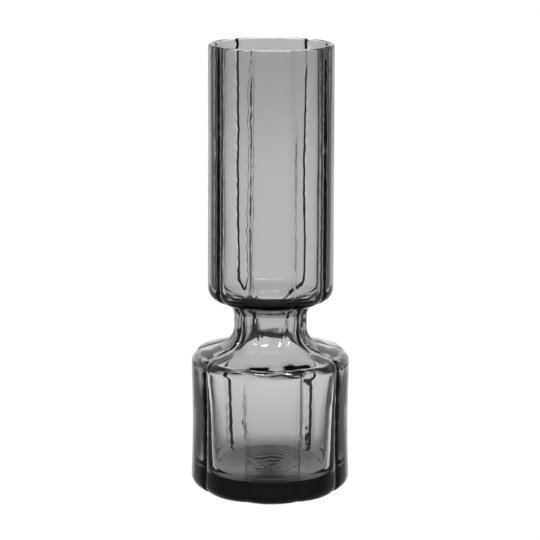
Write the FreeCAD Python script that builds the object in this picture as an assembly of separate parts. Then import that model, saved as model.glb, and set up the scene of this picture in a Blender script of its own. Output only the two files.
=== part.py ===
"""Glass vase blown in one piece: a tall cylinder on a narrow neck on a wider, heavy-bottomed body.

Every horizontal section has nine gently convex panels that meet in nine creases. The creases run
without a break from the rim to the underside, and the cavity has a matching ridge behind each.
Millimetres, +Z up, origin at the middle of the underside.
"""
import FreeCAD, Part
import math
import os

# Heights above the surface that the vase stands on
HEIGHT = 290.0
WAIST_Z = 46.0
SHOULDER_Z = 88.5
NECK_FOOT_Z = 97.1
NECK_HEAD_Z = 120.0
CYLINDER_FOOT_Z = 127.3

# Outer radii, measured to the crest of a panel
BODY_FOOT_R = 52.3
BODY_WAIST_R = 50.8
SHOULDER_R = 51.8
NECK_R = 23.9
CYLINDER_FOOT_R = 41.0
RIM_R = 40.3

# Outer corner roundings
FOOT_ROUND = 8.0
WAIST_ROUND = 900.0
SHOULDER_ROUND = 5.2
NECK_FOOT_ROUND = 14.0
NECK_HEAD_ROUND = 9.0
CYLINDER_FOOT_ROUND = 9.0
RIM_ROUND = 1.2

# Glass thickness, which grows from the shoulder down to the foot
RIM_WALL = 3.4
CYLINDER_WALL = 4.2
BORE_WALL = 4.4
SHOULDER_WALL = 2.6
MIDDLE_WALL = 4.6
FOOT_WALL = 7.8

# Heights and roundings of the cavity's corners
CYLINDER_FLOOR_Z = 131.4
BORE_HEAD_Z = 123.4
BORE_FOOT_Z = 94.0
CAVITY_SHOULDER_Z = 85.4
CAVITY_MIDDLE_Z = 56.0
CAVITY_FLOOR_Z = 12.5
CYLINDER_FLOOR_ROUND = 7.0
BORE_HEAD_ROUND = 9.0
BORE_FOOT_ROUND = 15.0
CAVITY_SHOULDER_ROUND = 5.0
CAVITY_MIDDLE_ROUND = 150.0
CAVITY_FLOOR_ROUND = 9.0

# Directions of the nine creases, degrees from +X, uneven as hand work leaves them
CREASE_ANGLES = (-30.0, 10.0, 50.0, 90.0, 130.0, 170.0, 213.0, 252.0, 293.0)

# Radius of a crease as a share of the radius of the crests beside it
BODY_CREASE = 0.9636
RIM_CREASE = 0.971
CAVITY_CREASE = 0.955
RIM_CAVITY_CREASE = 0.952

SEWING_TOLERANCE = 1e-3


def outline_corners():
    """Sharp corners (radius, height, rounding, crease share) of the glass, from the underside
    over the rim to the cavity floor. The first and last only give the end directions."""
    outside = [
        (0.0, 0.0, 0.0, BODY_CREASE),
        (BODY_FOOT_R, 0.0, FOOT_ROUND, BODY_CREASE),
        (BODY_WAIST_R, WAIST_Z, WAIST_ROUND, BODY_CREASE),
        (SHOULDER_R, SHOULDER_Z, SHOULDER_ROUND, BODY_CREASE),
        (NECK_R, NECK_FOOT_Z, NECK_FOOT_ROUND, BODY_CREASE),
        (NECK_R, NECK_HEAD_Z, NECK_HEAD_ROUND, BODY_CREASE),
        (CYLINDER_FOOT_R, CYLINDER_FOOT_Z, CYLINDER_FOOT_ROUND, BODY_CREASE),
        (RIM_R, HEIGHT, RIM_ROUND, RIM_CREASE),
    ]
    cylinder_r = CYLINDER_FOOT_R - CYLINDER_WALL
    bore_r = NECK_R - BORE_WALL
    inside = [
        (RIM_R - RIM_WALL, HEIGHT, RIM_ROUND, RIM_CAVITY_CREASE),
        (cylinder_r, CYLINDER_FLOOR_Z, CYLINDER_FLOOR_ROUND, CAVITY_CREASE),
        (bore_r, BORE_HEAD_Z, BORE_HEAD_ROUND, CAVITY_CREASE),
        (bore_r, BORE_FOOT_Z, BORE_FOOT_ROUND, CAVITY_CREASE),
        (SHOULDER_R - SHOULDER_WALL, CAVITY_SHOULDER_Z, CAVITY_SHOULDER_ROUND, CAVITY_CREASE),
        (BODY_WAIST_R - MIDDLE_WALL, CAVITY_MIDDLE_Z, CAVITY_MIDDLE_ROUND, CAVITY_CREASE),
        (BODY_FOOT_R - FOOT_WALL, CAVITY_FLOOR_Z, CAVITY_FLOOR_ROUND, CAVITY_CREASE),
        (0.0, CAVITY_FLOOR_Z, 0.0, CAVITY_CREASE),
    ]
    return outside + inside


def corner_arc(before, corner, after):
    """Poles (radius, height, crease share, weight) of the arc that rounds one corner."""
    radius, height, rounding, share = corner
    point = FreeCAD.Vector(radius, height, 0)
    back = (FreeCAD.Vector(before[0], before[1], 0) - point).normalize()
    ahead = (FreeCAD.Vector(after[0], after[1], 0) - point).normalize()
    half_angle = back.getAngle(ahead) / 2
    reach = rounding / math.tan(half_angle)
    start = point + back * reach
    end = point + ahead * reach
    return [
        (start.x, start.y, share, 1.0),
        (radius, height, share, math.sin(half_angle)),
        (end.x, end.y, share, 1.0),
    ]


def outline_pieces():
    """Poles of the arcs and straight lines of the half section, each tangent to the next."""
    corners = outline_corners()
    arcs = [corner_arc(*corners[i - 1:i + 2]) for i in range(1, len(corners) - 1)]
    pieces = [arcs[0]]
    for last, arc in zip(arcs, arcs[1:]):
        pieces.append([last[-1], arc[0]])
        pieces.append(arc)
    return pieces


def panel_arc(from_angle, to_angle, share):
    """Poles (x, y, weight) of one panel's arc, for crests on the unit circle."""
    middle = math.radians(from_angle + to_angle) / 2
    half = math.radians(to_angle - from_angle) / 2
    half_chord = share * math.sin(half)
    rise = 1.0 - share * math.cos(half)
    half_turn = 2 * math.atan(rise / half_chord)
    apex = share * math.cos(half) + half_chord * math.tan(half_turn)
    return [
        (share * math.cos(middle - half), share * math.sin(middle - half), 1.0),
        (apex * math.cos(middle), apex * math.sin(middle), math.cos(half_turn)),
        (share * math.cos(middle + half), share * math.sin(middle + half), 1.0),
    ]


def panel_spans():
    following = CREASE_ANGLES[1:] + (CREASE_ANGLES[0] + 360.0,)
    return list(zip(CREASE_ANGLES, following))


def panel_face(piece, span):
    """The panel arc scaled along one piece of the outline: an exact share of the surface."""
    poles = []
    weights = []
    for radius, height, share, outline_weight in piece:
        arc = panel_arc(*span, share)
        poles.append([FreeCAD.Vector(radius * x, radius * y, height) for x, y, _ in arc])
        weights.append([outline_weight * weight for _, _, weight in arc])
    surface = Part.BSplineSurface()
    surface.buildFromPolesMultsKnots(
        poles,
        [len(piece)] * 2,
        [3, 3],
        [0.0, 1.0],
        [0.0, 1.0],
        False,
        False,
        len(piece) - 1,
        2,
        weights,
    )
    return surface.toShape()


def closing_face(ring):
    """The flat face inside the section through one outline pole."""
    radius, height, share, _ = ring
    edges = []
    for span in panel_spans():
        arc = panel_arc(*span, share)
        curve = Part.BSplineCurve()
        curve.buildFromPolesMultsKnots(
            [FreeCAD.Vector(radius * x, radius * y, height) for x, y, _ in arc],
            [3, 3],
            [0.0, 1.0],
            False,
            2,
            [weight for _, _, weight in arc],
        )
        edges.append(curve.toShape())
    return Part.Face(Part.Wire(edges))


def glass_body():
    """The whole vase: a closed skin over the outside, the rim and the cavity."""
    pieces = outline_pieces()
    faces = [panel_face(piece, span) for piece in pieces for span in panel_spans()]
    faces.append(closing_face(pieces[0][0]))
    faces.append(closing_face(pieces[-1][-1]))
    skin = Part.makeShell(faces)
    skin.sewShape(SEWING_TOLERANCE)
    solid = Part.Solid(skin)
    if solid.Volume < 0:
        solid.reverse()
    return solid


NODES = {"glass_body": glass_body}

os.makedirs("parts", exist_ok=True)
for name, make in NODES.items():
    shape = make()
    shape.exportStep(f"parts/{name}.step")
    box = shape.BoundBox
    print(name, "valid", shape.isValid(), "solids", len(shape.Solids), "faces", len(shape.Faces))
    print("  volume cm3", round(shape.Volume / 1000, 1))
    print("  size", [round(side, 2) for side in (box.XLength, box.YLength, box.ZLength)])
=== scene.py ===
import math

import bpy
from mathutils import Euler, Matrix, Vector, noise


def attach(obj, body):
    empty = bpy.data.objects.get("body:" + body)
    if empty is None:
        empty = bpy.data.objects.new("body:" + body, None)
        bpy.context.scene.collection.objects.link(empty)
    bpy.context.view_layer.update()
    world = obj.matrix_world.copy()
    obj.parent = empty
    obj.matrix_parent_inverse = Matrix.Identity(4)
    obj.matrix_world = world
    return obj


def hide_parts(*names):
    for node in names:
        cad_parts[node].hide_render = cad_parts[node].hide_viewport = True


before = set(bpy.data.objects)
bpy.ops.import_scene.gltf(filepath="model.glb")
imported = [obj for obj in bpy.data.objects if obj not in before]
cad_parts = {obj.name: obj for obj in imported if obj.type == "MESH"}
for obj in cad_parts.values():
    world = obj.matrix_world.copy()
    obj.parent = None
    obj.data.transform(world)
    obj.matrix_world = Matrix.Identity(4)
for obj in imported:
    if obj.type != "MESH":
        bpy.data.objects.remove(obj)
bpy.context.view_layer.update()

MM = 0.001

# Heights above the floor, millimetres
HEIGHT = 290.0
WAIST_Z = 46.0
SHOULDER_Z = 88.5
NECK_FOOT_Z = 97.1
NECK_HEAD_Z = 120.0
CYLINDER_FOOT_Z = 127.3
# The slope of the shoulder, outside and in the cavity, is between this height and NECK_FOOT_Z
SLOPE_FOOT_Z = 83.5

# Outer radii to the crest of a panel, millimetres
BODY_FOOT_R = 52.3
BODY_WAIST_R = 50.8
SHOULDER_R = 51.8
NECK_R = 23.9
CYLINDER_FOOT_R = 41.0
RIM_R = 40.3

# Outer corner roundings, millimetres
FOOT_ROUND = 8.0
WAIST_ROUND = 900.0
SHOULDER_ROUND = 5.2
NECK_FOOT_ROUND = 14.0
NECK_HEAD_ROUND = 9.0
CYLINDER_FOOT_ROUND = 9.0
RIM_ROUND = 1.2

# Wall thickness, millimetres
RIM_WALL = 3.4
CYLINDER_WALL = 4.2
BORE_WALL = 4.4
SHOULDER_WALL = 2.6
MIDDLE_WALL = 4.6
FOOT_WALL = 7.8

# Heights and roundings of the cavity's corners, millimetres
CYLINDER_FLOOR_Z = 131.4
BORE_HEAD_Z = 123.4
BORE_FOOT_Z = 94.0
CAVITY_SHOULDER_Z = 85.4
CAVITY_MIDDLE_Z = 56.0
CAVITY_FLOOR_Z = 12.5
CYLINDER_FLOOR_ROUND = 7.0
BORE_HEAD_ROUND = 9.0
BORE_FOOT_ROUND = 15.0
CAVITY_SHOULDER_ROUND = 5.0
CAVITY_MIDDLE_ROUND = 150.0
CAVITY_FLOOR_ROUND = 9.0

# Directions of the nine creases, degrees from +X
CREASE_ANGLES = (-30.0, 10.0, 50.0, 90.0, 130.0, 170.0, 213.0, 252.0, 293.0)

# Radius of a crease as a share of the crests beside it
BODY_CREASE = 0.9636
RIM_CREASE = 0.971
CAVITY_CREASE = 0.955
RIM_CAVITY_CREASE = 0.952

# Fineness of the mesh: steps along the outline in millimetres, and the turn of a rounding
OUTER_ROW_STEP = 1.45
CAVITY_ROW_STEP = 4.0
SHOULDER_ROW_STEP = 1.1
ARC_STEP = math.radians(7.0)
# Rows of the flat underside, as shares of the radius where its rounding begins, and the number of
# steps across the cavity floor
UNDERSIDE_ROWS = (0.2, 0.45, 0.7, 0.88)
FLOOR_ROWS = 24
# Distances from the crease, in degrees, of the columns beside it, and the number of steps between
# them across the middle of a panel
CREASE_COLUMNS = (0.0, 0.2, 0.42, 0.7, 1.05, 1.5, 2.05, 2.75, 3.6, 4.7, 6.1)
MIDDLE_COLUMNS = 6

# How far to each side of a crease its sharp turn is softened
CREASE_SOFTNESS = math.radians(0.25)
# Inside this radius the unevenness dies away towards the axis, millimetres
CALM_R = 20.0

# What hand work leaves at each crease, in the order of CREASE_ANGLES: depth and width of a narrow
# groove on the cylinder and on the body, wander, jaggedness, depth and width of a wide fold, mm
GROOVES = (
    (1.70, 1.45, 1.50, 1.30, 0.25, 0.10, 0.15, 4.0),
    (0.90, 0.90, 1.00, 0.95, 0.25, 0.15, 0.15, 4.0),
    (0.75, 0.70, 0.75, 0.80, 0.50, 0.50, 1.60, 3.8),
    (0.10, 1.00, 0.10, 1.00, 0.30, 0.04, 0.00, 4.0),
    (0.75, 0.90, 0.80, 1.00, 0.70, 0.80, 1.95, 4.2),
    (0.90, 0.90, 1.00, 0.95, 0.25, 0.15, 0.15, 4.0),
    (1.70, 1.45, 1.50, 1.30, 0.25, 0.10, 0.15, 4.0),
    (1.80, 0.95, 0.70, 0.60, 0.50, 0.28, 0.30, 3.4),
    (0.90, 0.50, 1.00, 0.60, 0.35, 0.18, 0.10, 3.4),
)
# Heights between which a groove changes from the body's size to the cylinder's, millimetres
GROOVE_CHANGE = ((96.0, 0.0), (110.0, 1.0))
THINNEST_GROOVE = 0.05
NARROWEST_GROOVE = 0.25
# Where a groove and its fold fade along the height: (height mm, share of their depth)
FADES = {
    2: ((40, 1), (262, 1), (273, 0.1), (281, 0.1), (285, 1)),
    7: ((44, 0.15), (52, 1), (74, 1), (80, 0.15), (132, 0.15), (140, 1), (272, 1), (281, 0.3)),
    8: ((40, 0.1), (48, 1), (84, 1), (88, 0.1), (142, 0.1), (156, 1), (232, 1), (246, 0.1)),
}
# How far to each side a crease drags the glass along when it wanders
WANDER_REACH = math.radians(9.0)
# The deepest cut that leaves enough of the wall: (height mm, depth mm)
DEEPEST_CUT = (
    (60, 2.7), (72, 2.1), (80, 1.75), (95, 1.75), (101, 2.7), (287, 2.7), (289.5, 1.0),
)
# The most of that cut that a fold may take, and its greatest half width in millimetres
FOLD_SHARE = 0.75
WIDEST_FOLD = 4.2
# Slow unevenness of the blown surfaces, fine upright streaks, and the stronger unevenness of the
# worked neck and of the cavity at the shoulder, with the height and reach of each, millimetres
RIPPLE = 0.10
STREAK = 0.035
NECK_RIPPLE = 0.34
NECK_RIPPLE_Z = 101.0
NECK_RIPPLE_REACH = 15.0
SHOULDER_RIPPLE = 1.1
SHOULDER_RIPPLE_Z = 84.5
SHOULDER_RIPPLE_REACH = 4.0
# The uneven bead of thicker glass that hangs under the slope of the shoulder, millimetres
BEAD_R = 37.5
BEAD_DEPTH = 1.4
BEAD_WIDTH = 5.2
# Rings left in the cavity floor by the turning pipe, which end at RING_EDGE_R, millimetres
RING_HEIGHT = 0.22
RING_SPACING = 5.6
RING_EDGE_R = 27.0
# How far above CAVITY_FLOOR_Z a row may be and still belong to the cavity floor, millimetres
FLOOR_MARGIN = 0.1
# Shifts the noise, so that the cavity's ripples differ from the outside's
CAVITY_SEED = 11.0

# The grey glass: colour and density (per metre) of its absorption, and its refractive index
SMOKE_GREY = (0.5, 0.5, 0.5, 1)
SMOKE_DENSITY = 156.0
GLASS_IOR = 1.5
# Its faint striations: waves per metre across and upright, and the strength and depth (m) of bump
STRIATIONS = (90.0, 90.0, 22.0)
STRIATION_STRENGTH = 0.35
STRIATION_DEPTH = 0.0002

# Brightness of the light tent by direction from straight behind, degrees
TENT_ROUND = (
    (0, 1.0), (24, 1.0), (33, 0.62), (44, 0.2), (54, 0.1), (74, 0.12), (86, 1.3), (110, 1.5),
    (126, 1.0), (150, 1.0), (168, 0.8), (180, 0.7),
)
# The same for the surface right under the vase, which the vase itself shades in front
UNDER_ROUND = ((0, 0.45), (50, 0.9), (100, 1.5), (140, 0.7), (165, 0.12), (180, 0.1))
# Rings of the tent, from the middle of its floor, up its wall, to the middle of its top:
# (radius m, height m, brightness, pattern round the vase, share of the pattern)
TENT_RINGS = (
    (0.0, 0.0, 0.42, UNDER_ROUND, 0.0),
    (0.02, 0.0, 1.0, UNDER_ROUND, 1.0),
    (0.045, 0.0, 1.0, UNDER_ROUND, 1.0),
    (0.053, 0.0, 1.0, TENT_ROUND, 0.1),
    (0.066, 0.0, 1.1, TENT_ROUND, 0.7),
    (0.09, 0.0, 1.2, TENT_ROUND, 1.0),
    (0.15, 0.0, 1.2, TENT_ROUND, 1.0),
    (0.22, 0.0, 1.12, TENT_ROUND, 1.0),
    (0.3, 0.0, 1.03, TENT_ROUND, 1.0),
    (0.45, 0.0, 1.0, TENT_ROUND, 1.0),
    (0.45, 0.06, 0.97, TENT_ROUND, 1.0),
    (0.45, 0.12, 0.93, TENT_ROUND, 1.0),
    (0.45, 0.15, 0.86, TENT_ROUND, 1.0),
    (0.45, 0.19, 0.72, TENT_ROUND, 1.0),
    (0.45, 0.23, 0.62, TENT_ROUND, 1.0),
    (0.45, 0.28, 0.55, TENT_ROUND, 1.0),
    (0.45, 0.36, 0.4, TENT_ROUND, 1.0),
    (0.45, 0.5, 0.06, TENT_ROUND, 0.0),
    (0.45, 1.2, 0.04, TENT_ROUND, 0.0),
    (0.2, 1.3, 0.04, TENT_ROUND, 0.0),
    (0.0, 1.3, 0.04, TENT_ROUND, 0.0),
)
TENT_SIDES = 120
# A straight way through the vase crosses four surfaces. Light that has met more was thrown about
# inside the glass, and finds a dim room, of this level, instead of the tent
STRAIGHT_RAYS = 4.5
ROOM_LEVEL = 0.07
# The floor lies under the tent's own floor, and both just under the vase, metres
FLOOR_HALF = 12.0
FLOOR_Z = -0.0006
TENT_Z = -0.0003
# Brightness of the studio seen in reflections: (place from the front, 0, to the back, 1, level)
STUDIO_LEVELS = ((0.0, 0.24), (0.4, 0.16), (0.7, 0.3), (0.84, 0.5), (0.9, 1.0), (1.0, 1.0))
# Area lights: name, place and size in metres, power in watts
LIGHTS = (
    ("top_light", (0.0, 0.6, 2.2), (2.0, 2.0), 75.0),
    ("left_light", (-0.6, -1.0, 1.3), (0.5, 0.14), 10.0),
    ("right_light", (0.8, -0.8, 1.1), (0.12, 0.5), 9.0),
)
LIGHT_AIM = (0.0, 0.0, 0.1)

# The camera: place in metres, tilt down, roll and focal length in millimetres
CAMERA_PLACE = (-0.0004, -1.2709, 0.4282)
CAMERA_PITCH = math.radians(12.62)
CAMERA_ROLL = math.radians(0.2)
CAMERA_LENS = 134.4
# Enough for light to find its way out of thick glass
LIGHT_BOUNCES = 32


def outline_corners():
    """Sharp corners (radius, height, rounding, crease share) of the outside, from the underside
    to the rim, and of the cavity, from the rim to its floor, in millimetres."""
    outside = [
        (0.0, 0.0, 0.0, BODY_CREASE),
        (BODY_FOOT_R, 0.0, FOOT_ROUND, BODY_CREASE),
        (BODY_WAIST_R, WAIST_Z, WAIST_ROUND, BODY_CREASE),
        (SHOULDER_R, SHOULDER_Z, SHOULDER_ROUND, BODY_CREASE),
        (NECK_R, NECK_FOOT_Z, NECK_FOOT_ROUND, BODY_CREASE),
        (NECK_R, NECK_HEAD_Z, NECK_HEAD_ROUND, BODY_CREASE),
        (CYLINDER_FOOT_R, CYLINDER_FOOT_Z, CYLINDER_FOOT_ROUND, BODY_CREASE),
        (RIM_R, HEIGHT, RIM_ROUND, RIM_CREASE),
    ]
    cylinder_r = CYLINDER_FOOT_R - CYLINDER_WALL
    bore_r = NECK_R - BORE_WALL
    inside = [
        (RIM_R - RIM_WALL, HEIGHT, RIM_ROUND, RIM_CAVITY_CREASE),
        (cylinder_r, CYLINDER_FLOOR_Z, CYLINDER_FLOOR_ROUND, CAVITY_CREASE),
        (bore_r, BORE_HEAD_Z, BORE_HEAD_ROUND, CAVITY_CREASE),
        (bore_r, BORE_FOOT_Z, BORE_FOOT_ROUND, CAVITY_CREASE),
        (SHOULDER_R - SHOULDER_WALL, CAVITY_SHOULDER_Z, CAVITY_SHOULDER_ROUND, CAVITY_CREASE),
        (BODY_WAIST_R - MIDDLE_WALL, CAVITY_MIDDLE_Z, CAVITY_MIDDLE_ROUND, CAVITY_CREASE),
        (BODY_FOOT_R - FOOT_WALL, CAVITY_FLOOR_Z, CAVITY_FLOOR_ROUND, CAVITY_CREASE),
        (0.0, CAVITY_FLOOR_Z, 0.0, CAVITY_CREASE),
    ]
    return outside, inside


def corner_rows(before, corner, after, row_step):
    """Points (radius, height, share) along the arc that rounds one corner."""
    point = Vector(corner[:2])
    back = (Vector(before[:2]) - point).normalized()
    ahead = (Vector(after[:2]) - point).normalized()
    half_angle = back.angle(ahead) / 2
    rounding = corner[2]
    centre = point + (back + ahead).normalized() * (rounding / math.sin(half_angle))
    reach = rounding / math.tan(half_angle)
    start = point + back * reach - centre
    end = point + ahead * reach - centre
    turn = math.copysign(math.pi - 2 * half_angle, start.cross(end))
    steps = max(2, round(max(abs(turn) / ARC_STEP, abs(turn) * rounding / row_step)))
    rows = []
    for step in range(steps + 1):
        angle = turn * step / steps
        spin = Vector((
            start.x * math.cos(angle) - start.y * math.sin(angle),
            start.x * math.sin(angle) + start.y * math.cos(angle),
        ))
        rows.append((centre.x + spin.x, centre.y + spin.y, corner[3]))
    return rows


def straight_rows(start, end, row_step):
    """Points strictly between two rows, evenly spaced."""
    length = math.dist(start[:2], end[:2])
    steps = max(1, round(length / row_step))
    return [
        tuple(a + (b - a) * step / steps for a, b in zip(start, end)) for step in range(1, steps)
    ]


def on_shoulder(height):
    """Whether a height is on the sloping shoulder."""
    return SLOPE_FOOT_Z < height < NECK_FOOT_Z


def outline_rows():
    """Every row of the skin: (radius, height, share, side), with side 0 outside and 1 inside."""
    outside, inside = outline_corners()
    corners = outside + inside
    rim = len(outside)
    rows = []
    for index in range(1, len(corners) - 1):
        side = 0.0 if index < rim else 1.0
        row_step = CAVITY_ROW_STEP if side else OUTER_ROW_STEP
        arc = corner_rows(*corners[index - 1:index + 2], row_step)
        if rows:
            step = SHOULDER_ROW_STEP if on_shoulder(rows[-1][1]) else row_step
            rows += [(*row, side) for row in straight_rows(rows[-1][:3], arc[0], step)]
        rows += [(*row, side) for row in arc]
    first, last = rows[0], rows[-1]
    underside = [(first[0] * part, first[1], first[2], 0.0) for part in UNDERSIDE_ROWS]
    inward = [1 - step / FLOOR_ROWS for step in range(1, FLOOR_ROWS)]
    floor = [(last[0] * part, last[1], last[2], 1.0) for part in inward]
    return underside + rows + floor


def panel_columns():
    """(angle, offset from the panel's middle, half width, nearest crease) for each column."""
    following = CREASE_ANGLES[1:] + (CREASE_ANGLES[0] + 360.0,)
    columns = []
    for crease, (here, there) in enumerate(zip(CREASE_ANGLES, following)):
        middle = math.radians(here + there) / 2
        half = math.radians(there - here) / 2
        near = [math.radians(step) for step in CREASE_COLUMNS]
        inner = half - near[-1]
        offsets = [step - half for step in near]
        offsets += [inner * (2 * step / MIDDLE_COLUMNS - 1) for step in range(1, MIDDLE_COLUMNS)]
        offsets += [half - step for step in reversed(near[1:])]
        beside = (crease, (crease + 1) % len(CREASE_ANGLES))
        columns += [(middle + offset, offset, half, beside[offset > 0]) for offset in offsets]
    return columns


def section_radius(offset, half, share):
    """Radius of the panelled section, for crests of radius 1."""
    from_crease = math.sqrt((half - abs(offset)) ** 2 + CREASE_SOFTNESS ** 2)
    offset = half - from_crease
    half_chord = share * math.sin(half)
    rise = 1.0 - share * math.cos(half)
    arc_radius = (half_chord ** 2 + rise ** 2) / (2 * rise)
    centre = 1.0 - arc_radius
    return centre * math.cos(offset) + math.sqrt(arc_radius ** 2 - (centre * math.sin(offset)) ** 2)


def level_at(steps, place):
    """Straight-line reading between (place, level) steps, level beyond both ends."""
    place = max(place, steps[0][0])
    for (here, low), (there, high) in zip(steps, steps[1:]):
        if place <= there:
            return low + (high - low) * (place - here) / (there - here)
    return steps[-1][1]


def wave(crease, height, length, seed):
    """Smooth noise from about -1 to 1 along one crease, with the given wavelength in mm."""
    return 1.6 * noise.noise(Vector((crease * 7.31 + seed, height / length, 0.37)))


def crease_line(crease, height):
    """How far a crease wanders sideways, and the depth and width of its groove and of its fold,
    at one height, in millimetres."""
    sizes = GROOVES[crease]
    upper_depth, upper_width, lower_depth, lower_width, wander, jag, fold_depth, fold_width = sizes
    upper = level_at(GROOVE_CHANGE, height)
    present = level_at(FADES[crease], height) if crease in FADES else 1.0
    depth = lower_depth + (upper_depth - lower_depth) * upper
    width = lower_width + (upper_width - lower_width) * upper
    aside = wander * wave(crease, height, 55.0, 1.0) + jag * wave(crease, height, 3.4, 2.0)
    depth *= 1.0 + 0.30 * wave(crease, height, 5.0, 3.0) + 0.20 * wave(crease, height, 40.0, 4.0)
    width *= 1.0 + 0.35 * wave(crease, height, 3.6, 5.0)
    fold_depth *= present * (1.0 + 0.35 * wave(crease, height, 5.5, 6.0))
    fold_width *= 1.0 + 0.15 * wave(crease, height, 24.0, 7.0)
    deepest = level_at(DEEPEST_CUT, height)
    fold_depth = min(fold_depth, FOLD_SHARE * deepest)
    groove = min(deepest - fold_depth, max(THINNEST_GROOVE, depth * present))
    groove_width = max(NARROWEST_GROOVE, width)
    return aside, groove, groove_width, fold_depth, min(WIDEST_FOLD, fold_width)


def fold_shape(across, width):
    """Smooth cross-section of a fold: 1 in its middle and 0 from its width on."""
    return max(0.0, 1.0 - (across / width) ** 2) ** 2


def bell(place, middle, reach):
    """1 at the middle, falling smoothly to nearly nothing at twice the reach."""
    return math.exp(-((place - middle) / reach) ** 2)


def around(angle, fineness, level, seed=0.0):
    """Smooth noise round the vase: the noise read along a circle of radius fineness, at a level
    and a shift of its own."""
    x = fineness * math.cos(angle) + seed
    return noise.noise(Vector((x, fineness * math.sin(angle), level)))


def ripple(angle, height, side):
    """Unevenness of a blown surface: slow waves, quick ones where it was worked, and streaks."""
    seed = CAVITY_SEED * side
    slow = around(angle, 2.6, height / 45.0, seed)
    quick = around(angle, 3.4, height / 7.0, seed)
    streak_spot = Vector((9.0 * math.cos(angle), 9.0 * math.sin(angle) + seed, height / 160.0))
    worked = NECK_RIPPLE * bell(height, NECK_RIPPLE_Z, NECK_RIPPLE_REACH)
    if side:
        worked += SHOULDER_RIPPLE * bell(height, SHOULDER_RIPPLE_Z, SHOULDER_RIPPLE_REACH)
    return RIPPLE * slow + worked * quick + STREAK * noise.noise(streak_spot)


def shoulder_bead(reach, angle):
    """How far the uneven bead hangs down into the cavity."""
    uneven = max(0.0, 0.8 + 1.5 * around(angle, 3.6, 8.4))
    drift = 2.4 * around(angle, 4.4, 3.1)
    return BEAD_DEPTH * uneven * math.exp(-((reach - BEAD_R - drift) / BEAD_WIDTH) ** 2)


def floor_ring(reach, angle):
    """Low rings round the middle of the cavity floor, not quite round."""
    drift = around(angle, 1.2, reach / 12.0)
    fade = max(0.0, 1.0 - (reach / RING_EDGE_R) ** 4)
    return RING_HEIGHT * fade * math.sin(2 * math.pi * (reach / RING_SPACING + 0.7 * drift))


def row_points(row, columns):
    """Vertices of one row of the skin, in metres."""
    radius, height, share, side = row
    lines = [crease_line(crease, height) for crease in range(len(CREASE_ANGLES))]
    easing = min(1.0, radius / CALM_R)
    points = []
    for angle, offset, half, crease in columns:
        reach = radius * section_radius(offset, half, share)
        aside, depth, width, fold_depth, fold_width = lines[crease]
        from_crease = half - abs(offset)
        if not side:
            across = from_crease * radius
            reach -= depth * easing * bell(across, 0.0, width)
            reach -= fold_depth * easing * fold_shape(across, fold_width)
        reach -= easing * (RIPPLE + ripple(angle, height, side))
        near = max(0.0, 1.0 - from_crease / WANDER_REACH)
        turned = angle + aside / max(radius, CALM_R) * near * near * (3 - 2 * near)
        raised = height
        if side and height < CAVITY_FLOOR_Z + FLOOR_MARGIN:
            raised += floor_ring(reach, angle)
        elif side and on_shoulder(height):
            raised -= shoulder_bead(reach, angle)
        points.append((reach * MM * math.cos(turned), reach * MM * math.sin(turned), raised * MM))
    return points


def skin_mesh():
    """The whole closed skin: rows of quads from the underside to the cavity floor, with a fan of
    triangles at each end."""
    rows = outline_rows()
    columns = panel_columns()
    count = len(columns)
    vertices = []
    for row in rows:
        vertices += row_points(row, columns)
    faces = []
    for row in range(len(rows) - 1):
        for column in range(count):
            beside = (column + 1) % count
            a = row * count
            b = a + count
            faces.append((a + column, a + beside, b + beside, b + column))
    vertices.append((0.0, 0.0, rows[0][1] * MM))
    vertices.append((0.0, 0.0, rows[-1][1] * MM))
    top = (len(rows) - 1) * count
    for column in range(count):
        beside = (column + 1) % count
        faces.append((len(vertices) - 2, beside, column))
        faces.append((len(vertices) - 1, top + column, top + beside))
    mesh = bpy.data.meshes.new("vase_glass")
    mesh.from_pydata(vertices, [], faces)
    mesh.validate()
    mesh.shade_smooth()
    return mesh


def smoke_glass():
    """Grey glass that darkens with depth, with a faint bump for its striations."""
    material = bpy.data.materials.new("smoke_glass")
    material.use_nodes = True
    nodes = material.node_tree.nodes
    links = material.node_tree.links
    shader = nodes["Principled BSDF"]
    shader.inputs["Base Color"].default_value = (1, 1, 1, 1)
    shader.inputs["Roughness"].default_value = 0.0
    shader.inputs["IOR"].default_value = GLASS_IOR
    shader.inputs["Transmission Weight"].default_value = 1.0
    absorption = nodes.new("ShaderNodeVolumeAbsorption")
    absorption.inputs["Color"].default_value = SMOKE_GREY
    absorption.inputs["Density"].default_value = SMOKE_DENSITY
    links.new(absorption.outputs["Volume"], nodes["Material Output"].inputs["Volume"])
    coordinates = nodes.new("ShaderNodeTexCoord")
    stretch = nodes.new("ShaderNodeMapping")
    stretch.inputs["Scale"].default_value = STRIATIONS
    links.new(coordinates.outputs["Object"], stretch.inputs["Vector"])
    seeds = nodes.new("ShaderNodeTexNoise")
    seeds.inputs["Scale"].default_value = 1.0
    seeds.inputs["Detail"].default_value = 2.0
    links.new(stretch.outputs["Vector"], seeds.inputs["Vector"])
    bump = nodes.new("ShaderNodeBump")
    bump.inputs["Strength"].default_value = STRIATION_STRENGTH
    bump.inputs["Distance"].default_value = STRIATION_DEPTH
    links.new(seeds.outputs["Fac"], bump.inputs["Height"])
    links.new(bump.outputs["Normal"], shader.inputs["Normal"])
    return material


def make_glass():
    vase = bpy.data.objects.new("vase_glass", skin_mesh())
    bpy.context.scene.collection.objects.link(vase)
    vase.data.materials.append(smoke_glass())
    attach(vase, "root")
    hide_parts("glass_body")


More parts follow.
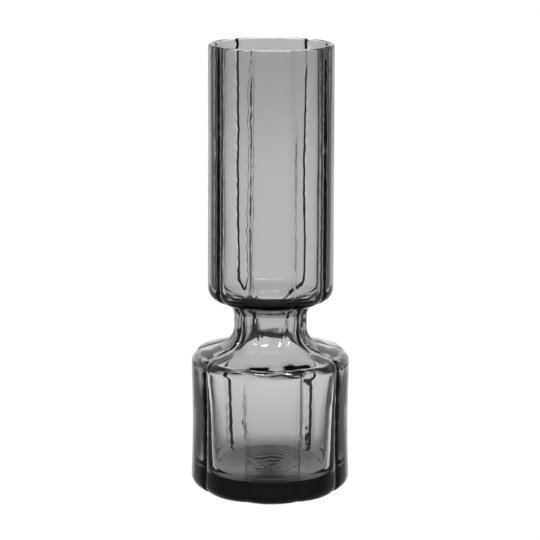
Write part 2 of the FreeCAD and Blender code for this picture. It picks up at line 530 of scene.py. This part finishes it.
def glowing(name):
    """A material that gives off even white light and hardly reflects any."""
    material = bpy.data.materials.new(name)
    material.use_nodes = True
    shader = material.node_tree.nodes["Principled BSDF"]
    shader.inputs["Base Color"].default_value = (0.02, 0.02, 0.02, 1)
    shader.inputs["Roughness"].default_value = 1.0
    shader.inputs["Specular IOR Level"].default_value = 0.0
    shader.inputs["Emission Color"].default_value = (1, 1, 1, 1)
    shader.inputs["Emission Strength"].default_value = 1.0
    return material


def make_floor():
    """A white floor that gives off its own light, so that it is even and without shadow."""
    mesh = bpy.data.meshes.new("floor")
    signs = ((-1, -1), (1, -1), (1, 1), (-1, 1))
    corners = [(x * FLOOR_HALF, y * FLOOR_HALF, 0) for x, y in signs]
    mesh.from_pydata(corners, [], [(0, 1, 2, 3)])
    mesh.materials.append(glowing("pale_floor"))
    floor = bpy.data.objects.new("floor", mesh)
    floor.location.z = FLOOR_Z
    floor.visible_glossy = False
    floor.visible_diffuse = False
    bpy.context.scene.collection.objects.link(floor)


def tent_cloth():
    """Glows with the mesh's own brightness, or with the room's for light thrown about inside."""
    material = glowing("tent_cloth")
    nodes = material.node_tree.nodes
    links = material.node_tree.links
    reading = nodes.new("ShaderNodeAttribute")
    reading.attribute_name = "brightness"
    path = nodes.new("ShaderNodeLightPath")
    thrown = nodes.new("ShaderNodeMath")
    thrown.operation = "GREATER_THAN"
    thrown.inputs[1].default_value = STRAIGHT_RAYS
    mix = nodes.new("ShaderNodeMixRGB")
    mix.inputs[2].default_value = (ROOM_LEVEL, ROOM_LEVEL, ROOM_LEVEL, 1)
    links.new(path.outputs["Ray Depth"], thrown.inputs[0])
    links.new(thrown.outputs[0], mix.inputs[0])
    links.new(reading.outputs["Color"], mix.inputs[1])
    links.new(mix.outputs[0], nodes["Principled BSDF"].inputs["Emission Color"])
    return material


def tent_mesh():
    """Rings of vertices, each with its brightness."""
    vertices = []
    levels = []
    for radius, height, brightness, pattern, share in TENT_RINGS:
        for step in range(TENT_SIDES):
            degrees = 360.0 * step / TENT_SIDES
            angle = math.radians(degrees)
            vertices.append((radius * math.sin(angle), radius * math.cos(angle), height))
            level = level_at(pattern, min(degrees, 360.0 - degrees))
            levels.append(brightness * (1.0 + (level - 1.0) * share))
    faces = []
    for ring in range(len(TENT_RINGS) - 1):
        for step in range(TENT_SIDES):
            beside = (step + 1) % TENT_SIDES
            a = ring * TENT_SIDES
            b = a + TENT_SIDES
            faces.append((a + step, b + step, b + beside, a + beside))
    mesh = bpy.data.meshes.new("light_tent")
    mesh.from_pydata(vertices, [], faces)
    layer = mesh.color_attributes.new("brightness", "FLOAT_COLOR", "POINT")
    for item, level in zip(layer.data, levels):
        item.color = (level, level, level, 1.0)
    return mesh


def make_tent():
    """The light tent round the vase: bright panels with dim gaps, seen only through the glass."""
    mesh = tent_mesh()
    mesh.materials.append(tent_cloth())
    tent = bpy.data.objects.new("light_tent", mesh)
    tent.location.z = TENT_Z
    tent.visible_camera = False
    tent.visible_glossy = False
    tent.visible_diffuse = False
    tent.visible_shadow = False
    bpy.context.scene.collection.objects.link(tent)


def make_world():
    """A bright backdrop in front of a dim room; plain white where the camera sees it itself."""
    world = bpy.data.worlds.new("studio")
    bpy.context.scene.world = world
    world.use_nodes = True
    nodes = world.node_tree.nodes
    links = world.node_tree.links
    background = nodes["Background"]
    coordinates = nodes.new("ShaderNodeTexCoord")
    split = nodes.new("ShaderNodeSeparateXYZ")
    links.new(coordinates.outputs["Generated"], split.inputs[0])
    shift = nodes.new("ShaderNodeMath")
    shift.operation = "MULTIPLY_ADD"
    shift.inputs[1].default_value = 0.5
    shift.inputs[2].default_value = 0.5
    links.new(split.outputs["Y"], shift.inputs[0])
    ramp = nodes.new("ShaderNodeValToRGB")
    links.new(shift.outputs[0], ramp.inputs[0])
    elements = ramp.color_ramp.elements
    while len(elements) < len(STUDIO_LEVELS):
        elements.new(0.5)
    for element, (place, level) in zip(elements, STUDIO_LEVELS):
        element.position = place
        element.color = (level, level, level, 1)
    path = nodes.new("ShaderNodeLightPath")
    mix = nodes.new("ShaderNodeMixRGB")
    links.new(path.outputs["Is Camera Ray"], mix.inputs[0])
    links.new(ramp.outputs[0], mix.inputs[1])
    mix.inputs[2].default_value = (1, 1, 1, 1)
    links.new(mix.outputs[0], background.inputs["Color"])
    background.inputs["Strength"].default_value = 1.0


def area_light(name, place, size, power):
    """A rectangular light that faces the vase."""
    light = bpy.data.lights.new(name, "AREA")
    light.shape = "RECTANGLE"
    light.size, light.size_y = size
    light.energy = power
    lamp = bpy.data.objects.new(name, light)
    lamp.location = place
    lamp.rotation_euler = (Vector(LIGHT_AIM) - Vector(place)).to_track_quat("-Z", "Y").to_euler()
    bpy.context.scene.collection.objects.link(lamp)


def make_camera():
    data = bpy.data.cameras.new("camera")
    data.lens = CAMERA_LENS
    data.sensor_width = 36.0
    camera = bpy.data.objects.new("camera", data)
    camera.location = CAMERA_PLACE
    camera.rotation_euler = Euler((math.pi / 2 - CAMERA_PITCH, 0.0, 0.0))
    camera.rotation_euler.rotate_axis("Z", CAMERA_ROLL)
    bpy.context.scene.collection.objects.link(camera)
    bpy.context.scene.camera = camera


def set_render_look():
    """Colours as they are, and the number of bounces."""
    scene = bpy.context.scene
    scene.view_settings.view_transform = "Standard"
    scene.cycles.max_bounces = LIGHT_BOUNCES
    scene.cycles.transmission_bounces = LIGHT_BOUNCES


make_camera()
make_floor()
make_tent()
make_world()
for light in LIGHTS:
    area_light(*light)
make_glass()
set_render_look()
